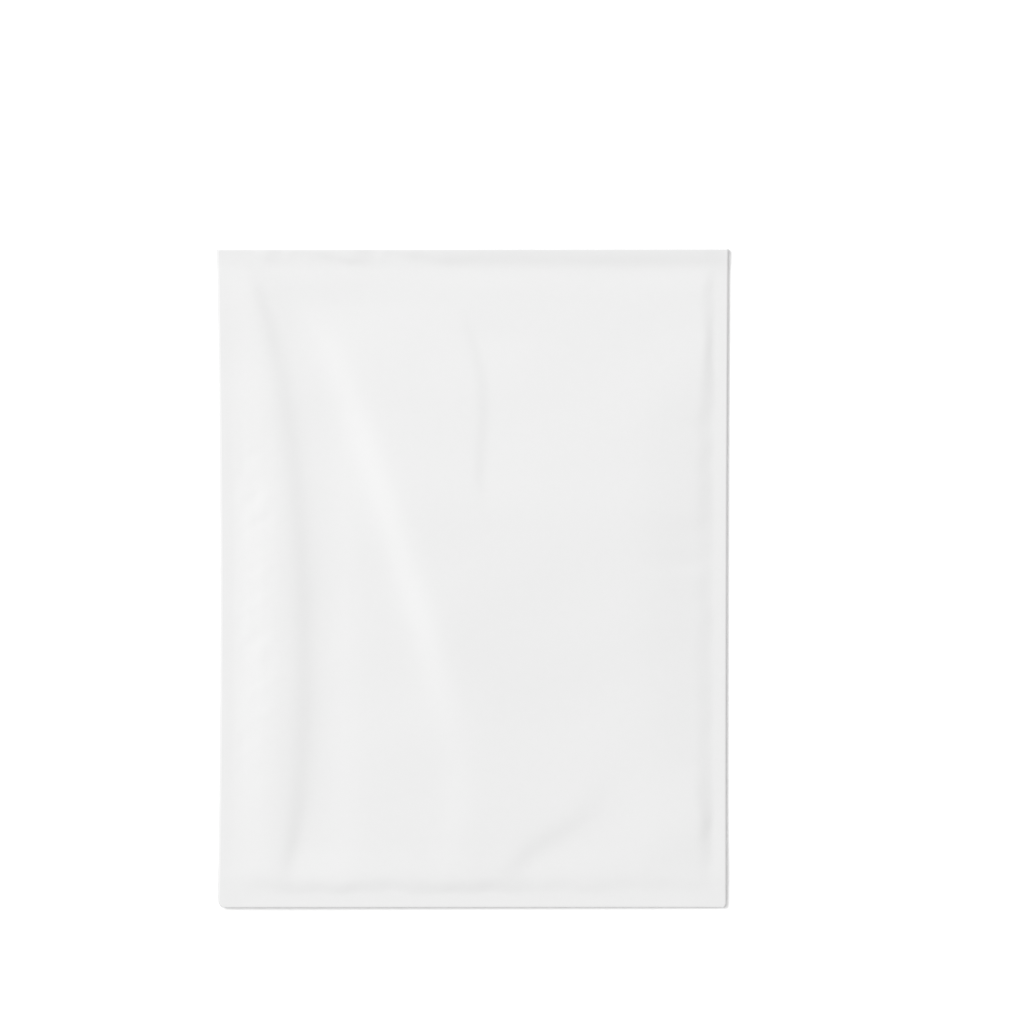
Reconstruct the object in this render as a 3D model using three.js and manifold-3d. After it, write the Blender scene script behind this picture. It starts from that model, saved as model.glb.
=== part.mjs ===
// A padded mailing envelope, empty, lying face up with its flap folded under the back panel.
// Millimetres. +X runs across the envelope, +Y towards the flap's fold and +Z up, away from the
// surface it lies on. The origin is on that surface, under the middle of the envelope.
import * as THREE from "three";
import { mergeVertices } from "three/addons/utils/BufferGeometryUtils.js";
import Module from "manifold-3d";

const wasm = await Module();
wasm.setup();

// Driving dimensions of the folded paper
const WIDTH = 370; // across both side seams
const LENGTH = 480; // from the bottom fold to the flap's fold
const FLAP_LENGTH = 48; // from the fold to the flap's free edge
const PAPER = 0.12; // one thickness of white kraft paper
const SEAM_WIDTH = 10; // each heat-sealed side seam
const SEAM_THICKNESS = 0.5; // two papers with the film crushed between them
const SEAM_HEIGHT = 3.2; // middle of the seams above the surface
const FRONT_BAND = 5; // flat front paper between the flap's fold and the padding
const BACK_BAND = 17; // flat back paper between the flap's fold and the padding
const BOTTOM_BAND = 12; // flat paper between the bottom fold and the padding
const EDGE_RUN = 28; // distance in which the padding rises to its full height
const MOUTH_SETBACK = 2.5; // the back panel's cut edge below the flap's fold

// Each free corner of the flap is cut on a slant, then steps out to the full width
const CORNER_INSET = 12; // the free edge ends this far from the side
const CORNER_SLANT = 16; // length of the slant along the side
const SHOULDER_INSET = 4.5; // the slant ends this far from the side
const SHOULDER_STEP = 3; // length of the step along the side

// Driving dimensions of the bubble lining
const LINING = 2.6; // one layer of bubble film
const POCKET_GAP = 0.5; // between the two layers of the empty pocket
const LINING_CLEARANCE = 0.2; // from the film to the paper around it
const LINING_INSET = 6; // the film's edge stops this far from the seams and flat bands
const LINING_WELD = 4; // width in which the two layers are joined at the sides and the bottom

// Driving dimensions of the strips
const RELEASE_WIDTH = 20; // peel-off strip over the adhesive
const RELEASE_THICKNESS = 0.06;
const RELEASE_MARGIN = 8; // from the flap's free edge to the peel-off strip
const ADHESIVE_WIDTH = 15;
const ADHESIVE_THICKNESS = 0.08;
const TAPE_WIDTH = 5; // tear-open tape across the back panel
const TAPE_THICKNESS = 0.06;
const TAPE_BELOW_FOLD = 12.4; // middle of the tape to the flap's fold

// The back panel comes down to the surface this far past the flap's free edge
const FLAP_RUN_OUT = 20;

const SLOPE_STEPS = 6; // facets across each slope of the padding
const FOLD_STEPS = 10; // facets round the flap's fold
const STATION_STEP = 0.01; // least distance between two stations
const CUT_PAST = 2; // how far a cutting solid runs past what it cuts

// Places worked out from the driving dimensions
const sideX = WIDTH / 2;
const foldY = LENGTH / 2;
const bottomY = -LENGTH / 2;
const mouthY = foldY - MOUTH_SETBACK;
const freeY = foldY - FLAP_LENGTH;
const padX = sideX - SEAM_WIDTH;
const padLowY = bottomY + BOTTOM_BAND;
const frontHighY = foldY - FRONT_BAND;
const backHighY = foldY - BACK_BAND;
const backRun = FLAP_LENGTH + FLAP_RUN_OUT - BACK_BAND;
const thickness = 2 * (PAPER + LINING_CLEARANCE + LINING) + POCKET_GAP;
const seamTop = SEAM_HEIGHT + SEAM_THICKNESS / 2;
const seamUnder = SEAM_HEIGHT - SEAM_THICKNESS / 2;
const foldRadius = seamTop / 2;

// A closed three.js geometry as a solid that can be joined and cut
function solidOf(geometry) {
  const bare = geometry.clone();
  bare.deleteAttribute("normal");
  bare.deleteAttribute("uv");
  const merged = mergeVertices(bare);
  const mesh = new wasm.Mesh({
    numProp: 3,
    vertProperties: new Float32Array(merged.attributes.position.array),
    triVerts: new Uint32Array(merged.index.array),
  });
  return new wasm.Manifold(mesh);
}

// A solid as a three.js geometry with flat-shaded faces
function geometryOf(solid) {
  const mesh = solid.getMesh();
  const geometry = new THREE.BufferGeometry();
  geometry.setAttribute("position", new THREE.BufferAttribute(mesh.vertProperties, 3));
  geometry.setIndex(new THREE.BufferAttribute(mesh.triVerts, 1));
  const flat = geometry.toNonIndexed();
  flat.computeVertexNormals();
  return flat;
}

// Share of its full height that a slope has reached: a quarter of a sine wave
function risen(distance, run) {
  return Math.sin((Math.PI / 2) * THREE.MathUtils.clamp(distance / run, 0, 1));
}

// Share of the padding's full height at a point: 0 at the seams and flat bands, 1 on the plateau
function padShare(x, y, highY, highRun) {
  const across = risen(padX - Math.abs(x), EDGE_RUN);
  return across * risen(y - padLowY, EDGE_RUN) * risen(highY - y, highRun);
}

const frontShare = (x, y) => padShare(x, y, frontHighY, EDGE_RUN);
const backShare = (x, y) => padShare(x, y, backHighY, backRun);

// Heights of the paper's outer faces
const frontFace = (x, y) => seamTop + (thickness - seamTop) * frontShare(x, y);
const backFace = (x, y) => seamUnder - seamUnder * backShare(x, y);

// Evenly spaced stations from one place to another
function stations(from, to) {
  return Array.from({ length: SLOPE_STEPS + 1 }, (_, k) => from + ((to - from) * k) / SLOPE_STEPS);
}

// The stations in rising order within two limits, without any that all but repeats the one before
function ordered(places, low, high) {
  const sorted = places.map((place) => THREE.MathUtils.clamp(place, low, high)).sort((a, b) => a - b);
  return sorted.filter((place, k) => k === 0 || place - sorted[k - 1] > STATION_STEP);
}

// Stations over the two side slopes, none nearer the seams than the inset
function acrossStations(inset) {
  const slope = stations(padX - EDGE_RUN, padX);
  return ordered([...slope, ...slope.map((x) => -x)], -padX + inset, padX - inset);
}

// Stations over the slopes at the bottom and at the flap, none nearer the flat bands than the inset
function alongStations(inset) {
  const slopes = [
    ...stations(padLowY, padLowY + EDGE_RUN),
    ...stations(backHighY - backRun, backHighY),
    ...stations(frontHighY - EDGE_RUN, frontHighY),
  ];
  return ordered(slopes, padLowY + inset, frontHighY - inset);
}

// A solid between two height functions: a box whose grid of columns and rows is moved to the
// stations, with its upper and lower faces lifted to the two functions
function pillow(xs, ys, upper, lower) {
  const box = new THREE.BoxGeometry(1, 1, 1, xs.length - 1, ys.length - 1, 1);
  const place = box.attributes.position;
  for (let i = 0; i < place.count; i++) {
    const x = xs[Math.round((place.getX(i) + 0.5) * (xs.length - 1))];
    const y = ys[Math.round((place.getY(i) + 0.5) * (ys.length - 1))];
    place.setXYZ(i, x, y, place.getZ(i) > 0 ? upper(x, y) : lower(x, y));
  }
  return solidOf(box);
}

// A flat plate with its outline in X and Y, from one height to another
function plate(outline, low, high) {
  const shape = new THREE.Shape(outline.map(([x, y]) => new THREE.Vector2(x, y)));
  const made = new THREE.ExtrudeGeometry(shape, { depth: high - low, bevelEnabled: false });
  return solidOf(made.translate(0, 0, low));
}

// A rectangular strip, symmetrical about X = 0
function strip(halfLength, lowY, highY, low, high) {
  const outline = [
    [-halfLength, lowY],
    [halfLength, lowY],
    [halfLength, highY],
    [-halfLength, highY],
  ];
  return plate(outline, low, high);
}

// The waste piece that is cut from one free corner of the flap; side is 1 or -1
function cornerWaste(side) {
  const shoulderY = freeY + CORNER_SLANT;
  const outline = [
    [sideX - CORNER_INSET, freeY],
    [sideX - SHOULDER_INSET, shoulderY],
    [sideX, shoulderY + SHOULDER_STEP],
    [sideX + CUT_PAST, shoulderY + SHOULDER_STEP],
    [sideX + CUT_PAST, freeY - CUT_PAST],
    [sideX - CORNER_INSET, freeY - CUT_PAST],
  ];
  const placed = outline.map(([x, y]) => [side * x, y]);
  return plate(placed, -foldRadius, foldRadius);
}

// The front panel's top edge, the half-round fold and the flap, as one bent strip of paper
function foldAndFlap() {
  const innerRadius = foldRadius - PAPER;
  const bendY = foldY - foldRadius;
  const start = (mouthY + frontHighY) / 2;
  const section = new THREE.Shape();
  section.moveTo(start, seamTop - PAPER);
  section.lineTo(bendY, seamTop - PAPER);
  section.absarc(bendY, foldRadius, innerRadius, Math.PI / 2, -Math.PI / 2, true);
  section.lineTo(freeY, PAPER);
  section.lineTo(freeY, 0);
  section.lineTo(bendY, 0);
  section.absarc(bendY, foldRadius, foldRadius, -Math.PI / 2, Math.PI / 2, false);
  section.lineTo(start, seamTop);
  const made = new THREE.ExtrudeGeometry(section, {
    depth: WIDTH,
    bevelEnabled: false,
    curveSegments: FOLD_STEPS,
  });
  // The section's own axes become Y and Z, and it is drawn out along X
  const axes = [new THREE.Vector3(0, 1, 0), new THREE.Vector3(0, 0, 1), new THREE.Vector3(1, 0, 0)];
  made.applyMatrix4(new THREE.Matrix4().makeBasis(...axes).setPosition(-sideX, 0, 0));
  return solidOf(made);
}

// One sheet of paper: front panel, back panel, side seams, bottom fold and flap, with the pocket open
// at the mouth under the flap
function outerEnvelope() {
  const outside = pillow(
    [-sideX, ...acrossStations(0), sideX],
    [bottomY, ...alongStations(0), mouthY],
    frontFace,
    backFace,
  );
  const inside = pillow(
    acrossStations(0),
    [bottomY + PAPER, ...alongStations(0), mouthY + CUT_PAST],
    (x, y) => frontFace(x, y) - PAPER,
    (x, y) => backFace(x, y) + PAPER,
  );
  const paper = outside.subtract(inside).add(foldAndFlap());
  return paper.subtract(cornerWaste(1)).subtract(cornerWaste(-1));
}

// Two layers of bubble film, joined at the sides and the bottom, with the empty pocket between them
function bubbleLining() {
  const offset = PAPER + LINING_CLEARANCE;
  const padded = pillow(
    acrossStations(LINING_INSET),
    alongStations(LINING_INSET),
    (x, y) => frontFace(x, y) - offset,
    (x, y) => backFace(x, y) + offset,
  );
  const middle = (x, y) => (frontFace(x, y) + backFace(x, y)) / 2;
  const halfGap = (x, y) => (POCKET_GAP / 2) * frontShare(x, y);
  const inset = LINING_INSET + LINING_WELD;
  const pocket = pillow(
    acrossStations(inset),
    [...alongStations(inset), frontHighY - LINING_INSET + CUT_PAST],
    (x, y) => middle(x, y) + halfGap(x, y),
    (x, y) => middle(x, y) - halfGap(x, y),
  );
  return padded.subtract(pocket);
}

// A strip across the inner face of the flap, trimmed to the flap's outline
function flapStrip(width, low, high) {
  const middleY = freeY + RELEASE_MARGIN + RELEASE_WIDTH / 2;
  const whole = strip(sideX, middleY - width / 2, middleY + width / 2, low, high);
  return whole.subtract(cornerWaste(1)).subtract(cornerWaste(-1));
}

const adhesiveTop = PAPER + ADHESIVE_THICKNESS;
const adhesiveStrip = () => flapStrip(ADHESIVE_WIDTH, PAPER, adhesiveTop);
const releaseStrip = () => flapStrip(RELEASE_WIDTH, adhesiveTop, adhesiveTop + RELEASE_THICKNESS);

// The tape lies on the back panel's outer face, just below the mouth
function tearTape() {
  const middleY = foldY - TAPE_BELOW_FOLD;
  const halfWidth = TAPE_WIDTH / 2;
  return strip(sideX, middleY - halfWidth, middleY + halfWidth, seamUnder - TAPE_THICKNESS, seamUnder);
}

function piece(name, solid, colour, roughness) {
  const material = new THREE.MeshStandardMaterial({ color: colour, roughness, metalness: 0 });
  const mesh = new THREE.Mesh(geometryOf(solid), material);
  mesh.name = name;
  return mesh;
}

const envelope = new THREE.Group();
envelope.name = "padded_envelope";
envelope.add(
  piece("outer_envelope", outerEnvelope(), 0xeeeeee, 0.55),
  piece("bubble_lining", bubbleLining(), 0xe9edee, 0.25),
  piece("adhesive_strip", adhesiveStrip(), 0xefe9d2, 0.3),
  piece("release_strip", releaseStrip(), 0xf3f3ef, 0.35),
  piece("tear_tape", tearTape(), 0xe4e4e4, 0.3),
);

export default envelope;
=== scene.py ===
"""A white padded envelope, lying face up with its flap folded behind, seen from straight above.

One sheet of paper is folded round two layers of bubble film. Lengths in the shape functions are in
millimetres, in the frame of the CAD part: X across, Y towards the flap's fold, Z up.
"""

import math

import bpy
import numpy as np
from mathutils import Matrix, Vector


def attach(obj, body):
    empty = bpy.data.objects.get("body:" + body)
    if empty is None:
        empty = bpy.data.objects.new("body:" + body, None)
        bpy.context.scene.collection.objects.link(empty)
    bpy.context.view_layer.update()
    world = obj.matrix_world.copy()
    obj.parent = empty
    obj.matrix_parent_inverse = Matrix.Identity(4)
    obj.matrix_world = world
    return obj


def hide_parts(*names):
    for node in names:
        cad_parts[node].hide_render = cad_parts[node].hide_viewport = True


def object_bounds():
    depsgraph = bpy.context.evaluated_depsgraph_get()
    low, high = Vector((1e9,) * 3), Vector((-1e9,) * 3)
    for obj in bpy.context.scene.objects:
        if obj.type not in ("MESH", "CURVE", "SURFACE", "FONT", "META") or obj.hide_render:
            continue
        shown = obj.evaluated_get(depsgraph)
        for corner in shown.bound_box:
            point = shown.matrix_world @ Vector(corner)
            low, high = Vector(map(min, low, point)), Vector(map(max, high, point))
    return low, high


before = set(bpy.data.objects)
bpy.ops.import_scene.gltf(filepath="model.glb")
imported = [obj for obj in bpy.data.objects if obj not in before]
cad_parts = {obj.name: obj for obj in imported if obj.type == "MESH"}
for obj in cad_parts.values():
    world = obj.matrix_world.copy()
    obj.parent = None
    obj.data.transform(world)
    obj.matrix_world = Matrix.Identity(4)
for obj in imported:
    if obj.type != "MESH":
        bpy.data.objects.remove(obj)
cad_low, cad_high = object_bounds()

# The envelope's outer size, from the CAD box
MM = 0.001
WIDTH, LENGTH, FULL = (round((b - a) / MM, 2) for a, b in zip(cad_low, cad_high))
SIDE, TOP, BOTTOM = WIDTH / 2, LENGTH / 2, -LENGTH / 2

# Paper thickness, heights of the seams' outer faces, depths of the two folds, and how much lower the
# right side lies than the left one
PAPER = 0.12
SEAM_TOP, SEAM_UNDER, SEAM_WIDTH = 3.45, 2.95, 10
FOLD_DEPTH, BOTTOM_ROUND, BOTTOM_FULLNESS = 1.0, 0.5, 0.3
RIGHT_DROP = 1.6

# Where the padding ends: at the sides, at the bottom, and at the top of the front and of the back
PAD_X = SIDE - SEAM_WIDTH
PAD_LOW = BOTTOM + 12
FRONT_HIGH = TOP - 5
BACK_HIGH, BACK_RUN = TOP - 17, 51

# The flap's bend, its free edge, and how far its sides are cut in at some distances from that edge
FLAP = 48
BEND, FREE = TOP - FOLD_DEPTH, TOP - FLAP
FLAP_PLACES, FLAP_CUTS = (0, 16, 19), (12, 4.5, 0)

# The back panel's edge at the mouth, and width and height of the rounding of the two bottom corners
MOUTH = TOP - 2.5
CORNERS = (3.5, 8.0), (2.0, 2.5)

# Thickness, width and middle line of the strips
STRIP_MIDDLE = FREE + 18
ADHESIVE, ADHESIVE_WIDTH = 0.08, 15
RELEASE, RELEASE_WIDTH = 0.06, 20
TAPE, TAPE_WIDTH, TAPE_MIDDLE = 0.06, 5, TOP - 12.4

# Bubbles: spacing, radius, corners of a ring, and the distance of their tops from the paper's outer face
BUBBLE_PITCH, BUBBLE_RADIUS, BUBBLE_SIDES = 10.5, 4.9, 8
BUBBLE_INSET = 0.3

# Film: thickness, and how far the two layers lie apart
FILM, FILM_APART = 0.06, 0.6

# How far the film and the strips end from the paper's edge
EDGE_GAP, TAPE_GAP = 0.4, 0.3

# Ends of the slopes at the edges, where the grids of points are denser
SLOPE_X, SLOPE_LOW, SLOPE_HIGH, SLOPE_BACK = PAD_X - 26, BOTTOM + 36, TOP - 32, TOP - 24


# Small functions that the shapes are made of


def smooth(t):
    """0 below 0, 1 above 1, and an S-curve without corners between."""
    t = np.clip(t, 0, 1)
    return t * t * (3 - 2 * t)


def rise(distance, run):
    """Share of its height a padded slope has reached: a quarter sine wave, eased in at its foot."""
    t = np.clip(distance / run, 0, 1)
    return np.sin(np.pi / 2 * (0.4 * t + 0.6 * smooth(t)))


def swell(distance, run, share, long_run):
    """Share of its height at an edge of the padding: part in a short slope, the rest in a long one."""
    return share * rise(distance, run) + (1 - share) * rise(distance, long_run)


def step(distance, width):
    """A soft step from 0 to 1, about twice the width long."""
    return 0.5 * (1 + np.tanh(distance / width))


def window(t, low, high, fade_low, fade_high):
    """1 between low and high, fading to 0 outside them."""
    return smooth((t - low) / fade_low + 1) * smooth((high - t) / fade_high + 1)


def wander(t, seed, pitch):
    """A slow line between about -1 and 1: six sine waves, half to twice the pitch long, seeded phases."""
    phases = np.random.default_rng(seed).uniform(0, 2 * np.pi, 6)
    lengths = pitch * np.geomspace(0.5, 2, 6)
    return sum(np.sin(2 * np.pi * t / n + p) for n, p in zip(lengths, phases)) / 3


def ripple(x, y, seed, pitch):
    """A slow uneven surface between about -1 and 1: ten plane waves in seeded directions."""
    rng = np.random.default_rng(seed)
    total = 0
    for turn, phase, stretch in rng.uniform(0, 1, (10, 3)):
        along = x * math.cos(np.pi * turn) + y * math.sin(np.pi * turn)
        total = total + np.sin(2 * np.pi * (along / (pitch * (0.6 + 1.2 * stretch)) + phase))
    return total / 4


def bubbles(x, y):
    """Round bumps in rows set at 60 degrees: the mean of three cosine waves, from -0.5 to 1."""
    k = 4 * np.pi / (math.sqrt(3) * BUBBLE_PITCH)
    turns = [math.radians(a) for a in (0, 60, 120)]
    return sum(np.cos(k * (x * math.cos(a) + y * math.sin(a))) for a in turns) / 3


def curve(points, degree):
    """A smooth line as a polynomial fitted to a few points: first number as a function of the second."""
    value, place = np.array(points, float).T
    return np.polynomial.Polynomial.fit(place, value, degree)


# Lines of the front's bends: places across for places along, and for the valley along for across

GROOVE = curve(
    [(-159, 219), (-149, 187), (-134, 110), (-126, 16), (-124, -60), (-125, -135), (-134, -205)], 4
)
RIDGE = curve(
    [(-121, 200), (-105, 163), (-85, 117), (-52, 16), (-41, -35), (-24, -72), (-13, -169)], 4
)
CREASE = curve([(-6, 187), (-2, 174), (4, 159), (6.5, 133), (6.5, 108), (6, 62)], 4)
VALLEY = curve(
    [(-234, 2), (-220, 18), (-206, 34), (-198, 46), (-190, 58), (-183, 70), (-176, 82), (-173, 96)], 3
)
FAINT_X = -94

# Heights of the bends
ROLL_HEIGHT, ROLL_SWELL, ROLL_LOSS = 1.3, 1.4, 0.3
GROOVE_DEPTH, GROOVE_LOSS = 2.35, 0.5
FAINT_HEIGHT = 1.6
RIDGE_LOW, RIDGE_RISE, CREST_RISE, FOOT_RISE = 0.8, 3.5, 0.8, 0.5
CREASE_DEPTH, VALLEY_DEPTH, CORNER_DEPTH = 0.8, 2.0, 2.6

# Stretches over which a bend is full: from, to, and how far it fades out before and after
ROLL_FULL = -110, 20, 90, 110
FAINT_FULL = -150, 40, 110, 110
RIDGE_FULL = -45, 130, 70, 90
CREST_FULL = -30, 40, 40, 60
FOOT_FULL = -165, -115, 40, 40
CREASE_FULL = 80, 170, 35, 30
MOTTLE_ACROSS = -168, -150, 8, 12
MOTTLE_ALONG = -110, 90, 60, 40
RIGHT_GENTLE = -130, 0, 40, 30
RIGHT_FADED = 14, 32, 16, 16
LOW_GENTLE = -20, 5, 30, 30

# Along the flap's fold: place, how far the paper springs up there, and how far below the fold and over
# what half width it falls back to the panel
PLEATS = np.array([
    (-185, 0.1, 1.5, 3),
    (-162, 0.2, 1.5, 3),
    (-149, 0.7, 6, 3),
    (-138, 0.08, 10, 3),
    (-129, 0.35, 1.5, 3),
    (-106, 0.8, 4.5, 3),
    (-88, 1.0, 8, 2.8),
    (-70, 0.06, 11, 3),
    (-61, 0.4, 1.5, 3),
    (-42, 1.1, 4, 3.5),
    (-20, 1.4, 7.5, 4.5),
    (20, 1.7, 6.5, 7),
    (70, 1.7, 7, 7),
    (95, 1.8, 7.5, 6),
    (165, 1.8, 7, 7.5),
    (185, 1.0, 7.5, 7.5),
])


# Bends of the front panel


def right_slope(x, y):
    """Share of the bends left near the right edge: a swell from an uneven line. Its short slope is steeper
    near both ends, gentle in the lower middle, and weak at one place above that."""
    upper, lower = smooth((y - 110) / 70), smooth((-130 - y) / 50)
    steep = 0.46 + 0.5 * upper + 0.35 * lower
    steep = steep - 0.14 * window(y, *RIGHT_GENTLE) - 0.24 * window(y, *RIGHT_FADED)
    run = 17 - 7 * upper - 2.5 * lower + 2 * wander(y, 6, 60)
    return swell(PAD_X - x - 0.8 * wander(y, 5, 50), run, steep, 70)


def low_slope(x, y):
    """Share of the bends left near the bottom: a swell from an uneven line, more of it at the left."""
    steep = 0.57 + 0.38 * smooth((-60 - x) / 60) - 0.12 * window(x, *LOW_GENTLE)
    run = 13 + 8 * smooth((-135 - x) / 15) + 2 * wander(x, 8, 70)
    return swell(y - PAD_LOW + 2 - 1.5 * wander(x, 7, 50), run, steep, 60)


def high_slope(y):
    """Share of the bends left near the top: a rise from a straight line below the flap's fold."""
    return rise(FRONT_HIGH - 6 - y, 26)


def roll_height(y):
    """Height of the roll along the left side: fuller at its middle and a little lower at the top."""
    return ROLL_HEIGHT + ROLL_SWELL * window(y, *ROLL_FULL) - ROLL_LOSS * smooth((y - 120) / 60)


def groove_depth(y, ends):
    """Depth of the groove beside the roll: less towards its ends, and little of it left at the bottom."""
    depth = GROOVE_DEPTH - GROOVE_LOSS * ends - GROOVE_LOSS * smooth((y - 195) / 25)
    return depth * (1 - 0.75 * smooth((-193 - y) / 32))


def ridge_height(y):
    """Height of the ridge: most from its middle upwards, with a crest, and a low foot near the bottom."""
    height = RIDGE_LOW + RIDGE_RISE * window(y, *RIDGE_FULL) + CREST_RISE * window(y, *CREST_FULL)
    return height + FOOT_RISE * window(y, *FOOT_FULL)


def crease(x, y):
    """A short step down across the crease's line, which dies out to the right."""
    past = x - CREASE(np.clip(y, 50, 200))
    depth = CREASE_DEPTH * window(y, *CREASE_FULL) * step(past, 3.4)
    return -depth * np.exp(-np.maximum(past, 0) / 70)


def valley(x, y):
    """A step down across the valley's slanted line, which widens and dies out to the right and below."""
    past = (VALLEY(np.clip(x, 0, 96)) - y) * 0.8
    depth = VALLEY_DEPTH * step(past, 8 + 30 * smooth((x - 70) / 60)) * smooth((x - 5) / 40)
    return -depth * np.exp(-np.maximum(past, 0) / 60) * (1 - smooth((x - 95) / 60))


def corner_droop(x, y):
    """A soft step down across a slanted line, which lowers the lower right corner."""
    return -CORNER_DEPTH * step(0.45 * x - y - 274, 18)


def front_bends(x, y):
    """Height of the slack front panel above the seams, as soft steps across lines.

    From the left it rises in a roll, falls at the groove, then climbs a faint step and the ridge that
    runs from the upper left to the bottom. A slow slope takes up the rest of the full height. A crease,
    a valley and a droop at the lower right corner lie on the flat part."""
    full = (FULL - SEAM_TOP) * (0.2 + 0.8 * rise(FRONT_HIGH - y, 190))
    ends = smooth((y - 150) / 60) + smooth((-140 - y) / 60)
    roll, groove, ridge = roll_height(y), groove_depth(y, ends), ridge_height(y)
    faint = FAINT_HEIGHT * window(y, *FAINT_FULL)
    height = roll * rise(x + PAD_X, 40) - groove * step((x - GROOVE(y)) * 0.97, 7.5 - 2.5 * ends)
    height = height + faint * step(x - FAINT_X, 13) + ridge * step((x - RIDGE(y)) * 0.93, 10.5)
    height = height + (full - roll + groove - faint - ridge) * np.clip((x + 130) / 300, 0, 1)
    return height + crease(x, y) + valley(x, y) + corner_droop(x, y) + 0.2 * ripple(x, y, 21, 110)


def mottle(x, y):
    """Height of the bubbles that show through the paper: uneven, and stronger along the left roll."""
    left = window(x, *MOTTLE_ACROSS) * window(y, *MOTTLE_ALONG)
    pressed = 0.5 + 0.5 * np.clip(ripple(x, y, 31, 26), -1, 1)
    height = (0.012 + 0.05 * left) * (0.3 + 1.2 * pressed) * bubbles(x, y)
    return height + 0.08 * left * ripple(1.4 * x, 0.8 * y, 38, 19)


def pleats(x):
    """Lift, middle and width of the fall below the flap's fold: level at each of the PLEATS' places, with
    an S-curve from one to the next."""
    place = PLEATS[:, 0]
    k = np.clip(np.searchsorted(place, x) - 1, 0, len(place) - 2)
    share = smooth((x - place[k]) / (place[k + 1] - place[k]))
    return [value[k] + (value[k + 1] - value[k]) * share for value in PLEATS.T[1:]]


# The paper's outer faces


def bottom_drop(y):
    """How far the bottom fold lies below the side seams: a short slope, then a slight one to the fold."""
    return 0.18 * (1 - smooth((y - BOTTOM - 11) / 16)) + 0.1 * (1 - smooth((y - BOTTOM) / 28))


def right_drop(x, y):
    """How far the right side lies below the left one, where the film is pressed flatter: one slow slope,
    less of it near the bottom."""
    slope = np.clip((x + 120) / (SIDE + 120), 0, 1)
    return RIGHT_DROP * slope * (0.6 + 0.4 * smooth((y - BOTTOM) / 80))


def fold_fullness(x, y):
    """How much fuller each face is at the bottom fold: it dies out upwards and towards the seams."""
    return BOTTOM_FULLNESS * np.exp(-(y - BOTTOM) / 5) * rise(PAD_X - np.abs(x), 30)


def front(x, y):
    """Height of the front panel's outer face: the seams' height and the padded bends. The flap's fold
    springs up unevenly in slanted pleats, so that a trough lies below it."""
    lift, middle, width = pleats(x)
    lip = lift * (1 - step(BEND - y - middle, width))
    edges = right_slope(x, y) * low_slope(x, y) * high_slope(y)
    padded = edges * (front_bends(x, y) + mottle(x, y))
    return SEAM_TOP + padded + fold_fullness(x, y) + lip - bottom_drop(y) - right_drop(x, y)


def back(x, y):
    """Height of the back panel's outer face: flat on the surface, rising to the seams and over the flap,
    with slack dents and faint bubbles in the flat part."""
    from_seam, from_hem = PAD_X - np.abs(x), y - PAD_LOW
    share = rise(from_seam, 18) * rise(from_hem, 18) * rise(BACK_HIGH - y, BACK_RUN)
    slack = 0.2 * (1 + ripple(x, y, 41, 90)) * rise(np.minimum(from_seam, from_hem), 60)
    dents = np.clip(slack, 0, 1) * share + 0.05 * (0.5 + bubbles(x, y)) * share
    edge = SEAM_UNDER - bottom_drop(y) - right_drop(x, y)
    return edge * (1 - share) + dents - fold_fullness(x, y)


def flap(x, y):
    """Height of the flap's lower face: on the surface, with a slight wave that dies out at the fold."""
    return 0.06 * smooth((BEND - y) / 25) * (1 + wander(x, 51, 120))


def warp(x, y):
    """Moves a point by the slight skew of the outline: bowed sides and a top edge out of square."""
    t = y / TOP
    left = 0.25 - 0.3 * t - 2.3 * t * t
    right = 0.2 + 0.75 * t + 0.45 * t * t
    share = (x / SIDE + 1) / 2
    return x + left + (right - left) * share, y + (0.75 + 0.15 * x / SIDE) * ((t + 1) / 2) ** 2


# Meshes from whole arrays of points


def stations(*knots):
    """Places along a line, from pairs of a place and the number of equal steps to the next one."""
    runs = [np.linspace(a[0], b[0], a[1], endpoint=False) for a, b in zip(knots, knots[1:])]
    return np.concatenate([*runs, [knots[-1][0]]])


def stations_across(end, seam, slope, middle):
    """Places across a panel from one end to the other, by steps on the seams, the slopes and the middle."""
    left = (-end, seam), (-PAD_X, slope), (-SLOPE_X, middle)
    return stations(*left, (SLOPE_X, slope), (PAD_X, seam), (end, 0))


def grid_quads(rows, columns, start=0):
    """Corner numbers of the quads of a grid of points, numbered row by row."""
    number = np.arange(rows * columns).reshape(rows, columns) + start
    corners = number[:-1, :-1], number[:-1, 1:], number[1:, 1:], number[1:, :-1]
    return np.stack(corners, -1).reshape(-1, 4)


def add_mesh(name, points, faces):
    """A smooth-shaded object from points in millimetres and faces of equal corner counts."""
    mesh = bpy.data.meshes.new(name)
    points = np.asarray(points, np.float32) * MM
    sides = faces.shape[1]
    mesh.vertices.add(len(points))
    mesh.vertices.foreach_set("co", points.ravel())
    mesh.loops.add(faces.size)
    mesh.loops.foreach_set("vertex_index", faces.astype(np.int32).ravel())
    mesh.polygons.add(len(faces))
    mesh.polygons.foreach_set("loop_start", np.arange(0, faces.size, sides, dtype=np.int32))
    mesh.update(calc_edges=True)
    mesh.validate()
    mesh.shade_smooth()
    made = bpy.data.objects.new(name, mesh)
    bpy.context.scene.collection.objects.link(made)
    return made


def slab(x, y, low, high):
    """Points and quads of a closed thin plate between two height arrays over one grid."""
    rows, columns = x.shape
    count = rows * columns
    points = np.concatenate([np.stack([x, y, z], -1).reshape(-1, 3) for z in (high, low)])
    number = np.arange(count).reshape(rows, columns)
    rim = np.concatenate([number[0, :], number[1:, -1], number[-1, -2::-1], number[-2:0:-1, 0]])
    after = np.roll(rim, -1)
    walls = np.stack([after, rim, rim + count, after + count], -1)
    faces = [grid_quads(rows, columns), grid_quads(rows, columns, count)[:, ::-1], walls]
    return points, np.concatenate(faces)


# The folded sheet of paper


def flap_half(y):
    """Half the flap's width: full at the shoulder, then a step and a slant in to the free edge."""
    return SIDE - np.interp(y - FREE, FLAP_PLACES, FLAP_CUTS)


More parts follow.
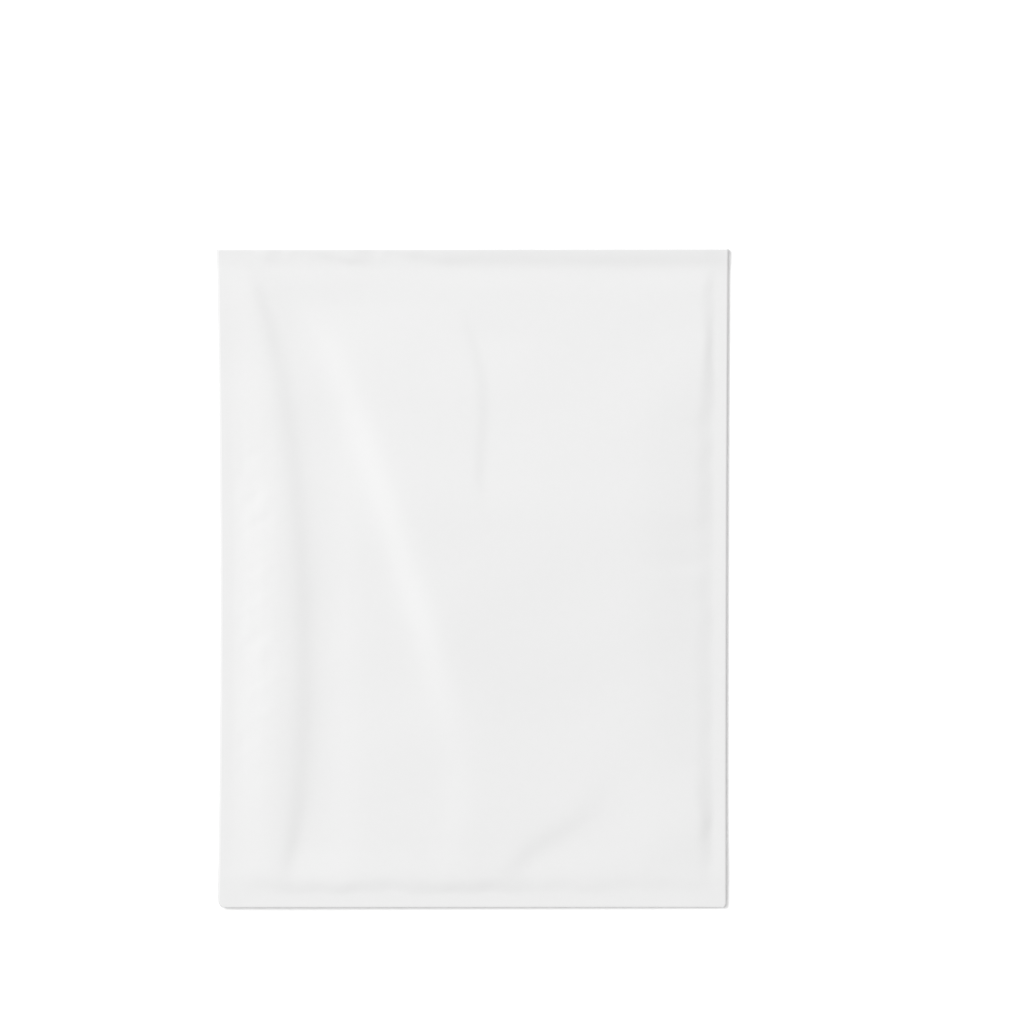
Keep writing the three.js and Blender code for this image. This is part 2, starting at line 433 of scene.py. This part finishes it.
def panel_row(across, y):
    """X along a row of a panel: full width, with each bottom corner rounded off by a quarter ellipse."""
    share = (across / SIDE + 1) / 2
    insets = []
    for wide, tall in CORNERS:
        near = np.clip(1 - (y - BOTTOM) / tall, 0, 1)
        insets.append(wide * (1 - np.sqrt(1 - near**2)))
    return across + insets[0] * (1 - share) - insets[1] * share


def add_sheet_map(made, x, along):
    """A UV map in metres on the flat sheet: across it, and along it from the flap's free edge."""
    sheet = np.stack([x, along[:, None] + 0 * x], -1).reshape(-1, 2)
    uv = made.data.uv_layers.new(name="sheet")
    corner = np.zeros(len(made.data.loops), np.int32)
    made.data.loops.foreach_get("vertex_index", corner)
    uv.data.foreach_set("uv", (sheet[corner] * MM).astype(np.float32).ravel())


def paper_sheet():
    """The sheet as one grid: across it by columns, and along it by rows in the order flap, fold, front
    panel, bottom fold and back panel. Each row has a Y and a half width, and its height comes from the
    function of its panel. The two folds are half ellipses between the panels.

    Returns the object, and the lengths along the sheet to the back panel and to its end."""
    across = stations_across(SIDE, 6, 14, 108)
    half = PAPER / 2

    y_flap = stations((FREE, 6), (FREE + FLAP_PLACES[-1], 8), (BEND, 0))[:-1, None]
    x_flap = across / SIDE * flap_half(y_flap)
    z_flap = flap(x_flap, y_flap) + half

    turn = np.linspace(-np.pi / 2, np.pi / 2, 10)[:, None]
    y_fold = BEND + (FOLD_DEPTH - half) * np.cos(turn)
    radius = front(across, BEND) / 2
    z_fold = radius + (radius - half) * np.sin(turn)

    low = BOTTOM + BOTTOM_ROUND
    y_front = stations((BEND - 0.3, 24), (SLOPE_HIGH, 148), (SLOPE_LOW, 20), (low, 0))[:, None]
    x_front = panel_row(across, y_front)
    z_front = front(x_front, y_front) - half

    y_back = stations((low, 12), (SLOPE_LOW, 78), (SLOPE_BACK, 8), (MOUTH, 0))[:, None]
    x_back = panel_row(across, y_back)
    z_back = back(x_back, y_back) + half

    turn = np.linspace(np.pi / 2, -np.pi / 2, 8)[1:-1, None]
    y_bottom = low - BOTTOM_ROUND * np.cos(turn)
    x_bottom = panel_row(across, np.maximum(y_bottom, BOTTOM + 0.1))
    middle, radius = (z_front[-1] + z_back[0]) / 2, (z_front[-1] - z_back[0]) / 2
    z_bottom = middle + radius * np.sin(turn)

    x = np.concatenate([x_flap, across + 0 * y_fold, x_front, x_bottom, x_back])
    y = np.concatenate([y_flap, y_fold, y_front, y_bottom, y_back]) + 0 * across
    z = np.concatenate([z_flap, z_fold, z_front, z_bottom, z_back])
    centre = len(across) // 2
    path = np.hypot(np.diff(y[:, centre]), np.diff(z[:, centre]))
    along = np.concatenate([[0], np.cumsum(path)])

    points = np.stack([*warp(x, y), z], -1).reshape(-1, 3)
    made = add_mesh("paper", points, grid_quads(*x.shape)[:, ::-1])
    add_sheet_map(made, x, along)
    thick = made.modifiers.new("thickness", "SOLIDIFY")
    thick.thickness = PAPER * MM
    thick.offset = 0
    return made, along[len(y) - len(y_back)], along[-1]


# The bubble film


def under_paper(x, y, side):
    """Height just inside the paper, less far from it where the panels are close: side 1 is under the front
    panel, -1 over the back panel."""
    upper, lower = front(x, y), back(x, y)
    inset = np.minimum(BUBBLE_INSET, 0.44 * (upper - lower))
    return upper - inset if side > 0 else lower + inset


def film_face(x, y, side):
    """Height of the flat film of one layer: a little to its side of the middle between the two panels."""
    upper, lower = under_paper(x, y, 1), under_paper(x, y, -1)
    return (upper + lower) / 2 + side * np.clip(0.2 * (upper - lower), 0, FILM_APART / 2)


def bubble_places():
    """X and Y of the bubbles' middles: a triangular grid, in rows of which every second one is shifted."""
    rows = np.arange(math.ceil(PAD_LOW + 6), FRONT_HIGH - 6, BUBBLE_PITCH * math.sqrt(3) / 2)
    columns = np.arange(-PAD_X + 7, PAD_X - 7, BUBBLE_PITCH)
    x = columns[None, :] + (np.arange(len(rows)) % 2)[:, None] * BUBBLE_PITCH / 2
    y = rows[:, None] + 0 * x
    return x.ravel(), y.ravel()


def bubble_faces():
    """Corner numbers of one bubble's triangles: a band between its two rings, a fan to its top, and a fan
    that closes it below."""
    low = np.arange(BUBBLE_SIDES)
    after = np.roll(low, -1)
    high, high_after = low + BUBBLE_SIDES, after + BUBBLE_SIDES
    top = np.full(BUBBLE_SIDES, 2 * BUBBLE_SIDES)
    return np.concatenate([
        np.stack([low, after, high_after], -1),
        np.stack([low, high_after, high], -1),
        np.stack([high, high_after, top], -1),
        np.stack([0 * low[2:], low[2:], low[1:-1]], -1),
    ])


def bubble_layer(side):
    """Points and triangles of the bubbles of one layer. A bubble has a ring on the film, a ring of 0.8 of
    its radius and a top point, at 0, 0.72 and 1 of the height from film to paper at their own place."""
    middle_x, middle_y = bubble_places()
    count, corners = len(middle_x), 2 * BUBBLE_SIDES + 1
    around = np.arange(BUBBLE_SIDES) * 2 * np.pi / BUBBLE_SIDES
    radius = np.array([1.0, 0.8])[:, None] * BUBBLE_RADIUS
    height = np.array([0.0, 0.72])[:, None]
    x = middle_x[:, None, None] + radius * np.cos(around)
    y = middle_y[:, None, None] + radius * np.sin(around)
    base, roof = film_face(x, y, side), under_paper(x, y, side)
    rings = np.stack([x, y, base + (roof - base) * height], -1).reshape(count, -1, 3)
    tops = np.stack([middle_x, middle_y, under_paper(middle_x, middle_y, side)], -1)[:, None, :]
    points = np.concatenate([rings, tops], 1).reshape(-1, 3)
    faces = bubble_faces() if side > 0 else bubble_faces()[:, ::-1]
    starts = np.arange(count) * corners
    return points, (faces[None] + starts[:, None, None]).reshape(-1, 3)


def film_layer(side):
    """Points and triangles of the flat film of one layer: a thin plate as wide as the envelope."""
    across = stations_across(SIDE - EDGE_GAP, 6, 10, 40)
    along = stations((BOTTOM + 3, 10), (SLOPE_LOW, 50), (SLOPE_HIGH, 10), (FRONT_HIGH, 0))
    x, y = np.meshgrid(across, along)
    x = panel_row(x, y)
    face = film_face(x, y, side)
    points, quads = slab(x, y, face - FILM / 2, face + FILM / 2)
    return points, np.concatenate([quads[:, [0, 1, 2]], quads[:, [0, 2, 3]]])


def bubble_film():
    """Two layers of flat film with bubbles, one towards the front panel and one towards the back panel."""
    parts = [layer(side) for side in (1, -1) for layer in (bubble_layer, film_layer)]
    points = np.concatenate([p for p, _ in parts])
    starts = np.cumsum([0] + [len(p) for p, _ in parts])
    faces = np.concatenate([f + start for (_, f), start in zip(parts, starts)])
    points[:, 0], points[:, 1] = warp(points[:, 0], points[:, 1])
    return add_mesh("bubble_film", points, faces)


# The three strips


def flap_strip(name, width, low, thickness):
    """A thin strip across the flap's inner face, following the flap, cut to its outline."""
    ys = np.linspace(STRIP_MIDDLE - width / 2, STRIP_MIDDLE + width / 2, 9)[:, None]
    x = np.linspace(-1, 1, 121) * (flap_half(ys) - EDGE_GAP)
    y = ys + 0 * x
    base = flap(x, y) + low
    return add_mesh(name, *slab(*warp(x, y), base, base + thickness))


def tape_strip():
    """A thin tape across the outer face of the back panel, following the panel."""
    end, half = SIDE - TAPE_GAP, TAPE_WIDTH / 2
    across = np.linspace(-end, end, 121)
    x, y = np.meshgrid(across, np.linspace(TAPE_MIDDLE - half, TAPE_MIDDLE + half, 7))
    face = back(x, y)
    return add_mesh("tape", *slab(*warp(x, y), face - TAPE, face))


# Colours, and places of the prints and of the painted shade near the paper's two ends

PAPER_WHITE, PAPER_PRINT = (0.855, 0.855, 0.855, 1), (0.13, 0.13, 0.135, 1)
TAPE_WHITE, TAPE_PRINT = (0.82, 0.82, 0.82, 1), (0.2, 0.2, 0.21, 1)
RELEASE_WARM, ADHESIVE_CREAM = (0.88, 0.87, 0.83), (0.8, 0.76, 0.6)
FILM_CLEAR = (0.86, 0.89, 0.9, 1)

BAR_X, BAR_PAST_FOLD = (-184, -178.5), (2, 30.8)
TAPE_REPEAT, TAPE_BAR, TAPE_BAR_HALF = 43, (10, 33.3), 1.1
# Painted shade: bands along Y, in millimetres, where the paper's colour is darkened near the top and bottom
# ends, with the shade at each limit
TOP_PAINTED_SHADE_BAND, TOP_PAINTED_SHADES = (224, 233), (1.0, 0.987)
LOW_PAINTED_SHADE_BAND, LOW_PAINTED_SHADES = (-225, -214), (0.99, 1.0)


# Shader nodes


def add_node(tree, kind, settings=None, **inputs):
    """A shader node with its settings. Each input, named in words or by number as in i0, is set to a value
    or linked to a socket."""
    made = tree.nodes.new(kind)
    for name, value in (settings or {}).items():
        setattr(made, name, value)
    for name, value in inputs.items():
        socket = made.inputs[int(name[1:])] if name[1:].isdigit() else made.inputs[name]
        if isinstance(value, bpy.types.NodeSocket):
            tree.links.new(value, socket)
        else:
            socket.default_value = value
    return made


def maths(tree, operation, *values):
    """A math node on one, two or three values or sockets."""
    named = {"i%d" % k: v for k, v in enumerate(values)}
    return add_node(tree, "ShaderNodeMath", {"operation": operation}, **named).outputs[0]


def place_on_piece(tree):
    """The point on the piece, in metres."""
    return add_node(tree, "ShaderNodeTexCoord").outputs["Object"]


def noise(tree, place, scale, detail, roughness=0.5):
    """An uneven value about 0.5, with so many lumps to a metre."""
    named = {"Vector": place, "Scale": scale, "Detail": detail, "Roughness": roughness}
    return add_node(tree, "ShaderNodeTexNoise", **named).outputs[0]


def between(tree, value, limits):
    """1 where a value in metres lies between two limits in millimetres, else 0."""
    above = maths(tree, "GREATER_THAN", value, limits[0] * MM)
    return maths(tree, "MULTIPLY", above, maths(tree, "LESS_THAN", value, limits[1] * MM))


def eased(tree, value, limits, shades):
    """The first shade up to one limit, the second from the other on, and an S-curve between."""
    named = {"i0": value, "i1": limits[0] * MM, "i2": limits[1] * MM, "i3": shades[0], "i4": shades[1]}
    return add_node(tree, "ShaderNodeMapRange", {"interpolation_type": "SMOOTHSTEP"}, **named).outputs[0]


def printed(tree, mask, plain, ink):
    """The plain colour, and the ink's colour where the mask is 1."""
    return add_node(tree, "ShaderNodeMix", {"data_type": "RGBA"}, i0=mask, i6=plain, i7=ink).outputs[2]


def shaded(tree, colour, shade):
    """A colour times a shade."""
    return add_node(tree, "ShaderNodeVectorMath", {"operation": "SCALE"}, i0=colour, Scale=shade).outputs[0]


def grain_group():
    """A node group for paper: a shade that varies with the fibres, a roughness and a normal."""
    tree = bpy.data.node_groups.new("paper_grain", "ShaderNodeTree")
    tree.interface.new_socket("Shade", in_out="OUTPUT", socket_type="NodeSocketFloat")
    tree.interface.new_socket("Roughness", in_out="OUTPUT", socket_type="NodeSocketFloat")
    tree.interface.new_socket("Normal", in_out="OUTPUT", socket_type="NodeSocketVector")
    place = place_on_piece(tree)
    fibre = noise(tree, place, 1400.0, 5.0, 0.65)
    cloud = noise(tree, place, 140.0, 3.0)
    shade = maths(tree, "MULTIPLY_ADD", fibre, 0.03, 0.978)
    shade = maths(tree, "MULTIPLY_ADD", cloud, 0.014, shade)
    rough = maths(tree, "MULTIPLY_ADD", cloud, 0.12, 0.46)
    bump = add_node(tree, "ShaderNodeBump", Strength=0.35, Distance=0.00003, Height=fibre).outputs[0]
    out = tree.nodes.new("NodeGroupOutput")
    for name, socket in (("Shade", shade), ("Roughness", rough), ("Normal", bump)):
        tree.links.new(socket, out.inputs[name])
    return tree


# Materials


def new_material(name):
    """A node material, its node tree and its Principled shader."""
    material = bpy.data.materials.new(name)
    material.use_nodes = True
    return material, material.node_tree, material.node_tree.nodes["Principled BSDF"]


def paper_material(grain, back_start):
    """White kraft paper with painted shade: its colour is a little darker in bands near its two ends. It
    has one dark printed bar in a lower corner of the back panel."""
    material, tree, shader = new_material("white_kraft")
    group = add_node(tree, "ShaderNodeGroup", {"node_tree": grain})
    uv = add_node(tree, "ShaderNodeUVMap", {"uv_map": "sheet"}).outputs[0]
    across, along = add_node(tree, "ShaderNodeSeparateXYZ", i0=uv).outputs[:2]
    bar_along = between(tree, along, [back_start + distance for distance in BAR_PAST_FOLD])
    bar = maths(tree, "MULTIPLY", between(tree, across, BAR_X), bar_along)
    place_y = add_node(tree, "ShaderNodeSeparateXYZ", i0=place_on_piece(tree)).outputs[1]
    # Painted shade: the paper's colour darkens a little in bands near the top and bottom ends
    top, low = eased(tree, place_y, TOP_PAINTED_SHADE_BAND, TOP_PAINTED_SHADES), eased(tree, place_y, LOW_PAINTED_SHADE_BAND, LOW_PAINTED_SHADES)
    shade = maths(tree, "MULTIPLY", group.outputs["Shade"], maths(tree, "MULTIPLY", top, low))
    colour = shaded(tree, printed(tree, bar, PAPER_WHITE, PAPER_PRINT), shade)
    tree.links.new(colour, shader.inputs["Base Color"])
    tree.links.new(group.outputs["Roughness"], shader.inputs["Roughness"])
    tree.links.new(group.outputs["Normal"], shader.inputs["Normal"])
    shader.inputs["Specular IOR Level"].default_value = 0.35
    return material


def release_material(grain):
    """Smooth silicone-coated paper, a little warmer than the envelope."""
    material, tree, shader = new_material("release_paper")
    group = add_node(tree, "ShaderNodeGroup", {"node_tree": grain})
    colour = shaded(tree, RELEASE_WARM, group.outputs["Shade"])
    tree.links.new(colour, shader.inputs["Base Color"])
    tree.links.new(group.outputs["Normal"], shader.inputs["Normal"])
    shader.inputs["Roughness"].default_value = 0.3
    return material


def film_material():
    """Clear polyethylene film, slightly cloudy."""
    material, tree, shader = new_material("bubble_film")
    cloud = noise(tree, place_on_piece(tree), 90.0, 2.0)
    tree.links.new(maths(tree, "MULTIPLY_ADD", cloud, 0.15, 0.12), shader.inputs["Roughness"])
    shader.inputs["Base Color"].default_value = FILM_CLEAR
    shader.inputs["Transmission Weight"].default_value = 0.55
    shader.inputs["IOR"].default_value = 1.5
    return material


def adhesive_material():
    """Hot-melt adhesive: a cream, glossy layer, slightly streaked along its length."""
    material, tree, shader = new_material("adhesive")
    drawn = add_node(tree, "ShaderNodeMapping", Vector=place_on_piece(tree), Scale=(12.0, 300.0, 1.0))
    streak = noise(tree, drawn.outputs[0], 1.0, 3.0)
    colour = shaded(tree, ADHESIVE_CREAM, maths(tree, "MULTIPLY_ADD", streak, 0.1, 0.95))
    tree.links.new(colour, shader.inputs["Base Color"])
    shader.inputs["Roughness"].default_value = 0.22
    return material


def tape_material():
    """White tape with plain grey printed bars at even distances."""
    material, tree, shader = new_material("tape_film")
    across, along = add_node(tree, "ShaderNodeSeparateXYZ", i0=place_on_piece(tree)).outputs[:2]
    in_bar = between(tree, maths(tree, "FLOORED_MODULO", across, TAPE_REPEAT * MM), TAPE_BAR)
    in_line = between(tree, along, (TAPE_MIDDLE - TAPE_BAR_HALF, TAPE_MIDDLE + TAPE_BAR_HALF))
    colour = printed(tree, maths(tree, "MULTIPLY", in_bar, in_line), TAPE_WHITE, TAPE_PRINT)
    tree.links.new(colour, shader.inputs["Base Color"])
    shader.inputs["Roughness"].default_value = 0.32
    return material


# The pieces with their materials

paper, back_start, sheet_length = paper_sheet()
film = bubble_film()
adhesive = flap_strip("adhesive", ADHESIVE_WIDTH, PAPER, ADHESIVE)
release = flap_strip("release", RELEASE_WIDTH, PAPER + ADHESIVE, RELEASE)
tape = tape_strip()

grain = grain_group()
dressed = (
    (paper, "outer_envelope", "white_kraft", paper_material(grain, back_start)),
    (film, "bubble_lining", "bubble_film", film_material()),
    (adhesive, "adhesive_strip", "adhesive", adhesive_material()),
    (release, "release_strip", "release_paper", release_material(grain)),
    (tape, "tear_tape", "tape_film", tape_material()),
)
for made, cad_node, slot, material in dressed:
    made.data.materials.append(material)
    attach(made, "root")
    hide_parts(cad_node)


# Surface, light and camera. Floor and sky are whiter where they are seen than as lights on the envelope.
# The floor's half length is in millimetres, places of light and camera are in metres.

FLOOR_HALF, FLOOR_SEEN, FLOOR_LIGHT = 4000, (1.2, 1.2, 1.2, 1), (0.9, 0.9, 0.9, 1)
SKY_SEEN, SKY_LIGHT = 1.0, 0.622
LAMP_POWER, LAMP_SIZE, LAMP_PLACE = 2580.0, 12.0, (-12.06, 9.43, 12.8)
CAMERA_PLACE, CAMERA_LENS, CAMERA_SENSOR = (0.0281, 0.0487, 2.08), 100, 36


def seen_rays(tree):
    """1 on rays from the camera, and on those that gloss or clear film passes on, else 0."""
    rays = add_node(tree, "ShaderNodeLightPath").outputs
    passed_on = maths(tree, "MAXIMUM", rays["Is Glossy Ray"], rays["Is Transmission Ray"])
    return maths(tree, "MAXIMUM", rays["Is Camera Ray"], passed_on)


def surface():
    """A large floor, bright enough where it is seen to look pure white, which keeps the shadow."""
    signs = np.array([(-1, -1, 0), (1, -1, 0), (1, 1, 0), (-1, 1, 0)])
    made = add_mesh("surface", FLOOR_HALF * signs, np.array([[0, 1, 2, 3]]))
    material = bpy.data.materials.new("surface")
    material.use_nodes = True
    tree = material.node_tree
    tree.nodes.clear()
    seen = add_node(tree, "ShaderNodeBsdfDiffuse", Color=FLOOR_SEEN).outputs[0]
    lit = add_node(tree, "ShaderNodeBsdfDiffuse", Color=FLOOR_LIGHT).outputs[0]
    mixed = add_node(tree, "ShaderNodeMixShader", i0=seen_rays(tree), i1=lit, i2=seen).outputs[0]
    add_node(tree, "ShaderNodeOutputMaterial", Surface=mixed)
    made.data.materials.append(material)


def lights():
    """An even white sky, plain white to the camera, and a large soft light at the upper left."""
    world = bpy.data.worlds.new("sky")
    bpy.context.scene.world = world
    world.use_nodes = True
    tree = world.node_tree
    tree.nodes.clear()
    strength = maths(tree, "MULTIPLY_ADD", seen_rays(tree), SKY_SEEN - SKY_LIGHT, SKY_LIGHT)
    sky = add_node(tree, "ShaderNodeBackground", Color=(1, 1, 1, 1), Strength=strength).outputs[0]
    add_node(tree, "ShaderNodeOutputWorld", Surface=sky)

    lamp = bpy.data.lights.new("left_light", "AREA")
    lamp.shape = "SQUARE"
    lamp.size = LAMP_SIZE
    lamp.energy = LAMP_POWER
    made = bpy.data.objects.new("left_light", lamp)
    made.location = LAMP_PLACE
    made.rotation_euler = (-made.location).to_track_quat("-Z", "Y").to_euler()
    made.visible_camera = False
    bpy.context.scene.collection.objects.link(made)


def camera():
    """Straight above the picture's centre, which lies right of and above the envelope's middle."""
    made = bpy.data.objects.new("camera", bpy.data.cameras.new("camera"))
    made.data.sensor_width = CAMERA_SENSOR
    made.data.lens = CAMERA_LENS
    made.location = CAMERA_PLACE
    bpy.context.scene.collection.objects.link(made)
    bpy.context.scene.camera = made


surface()
lights()
camera()
bpy.context.scene.view_settings.view_transform = "Standard"
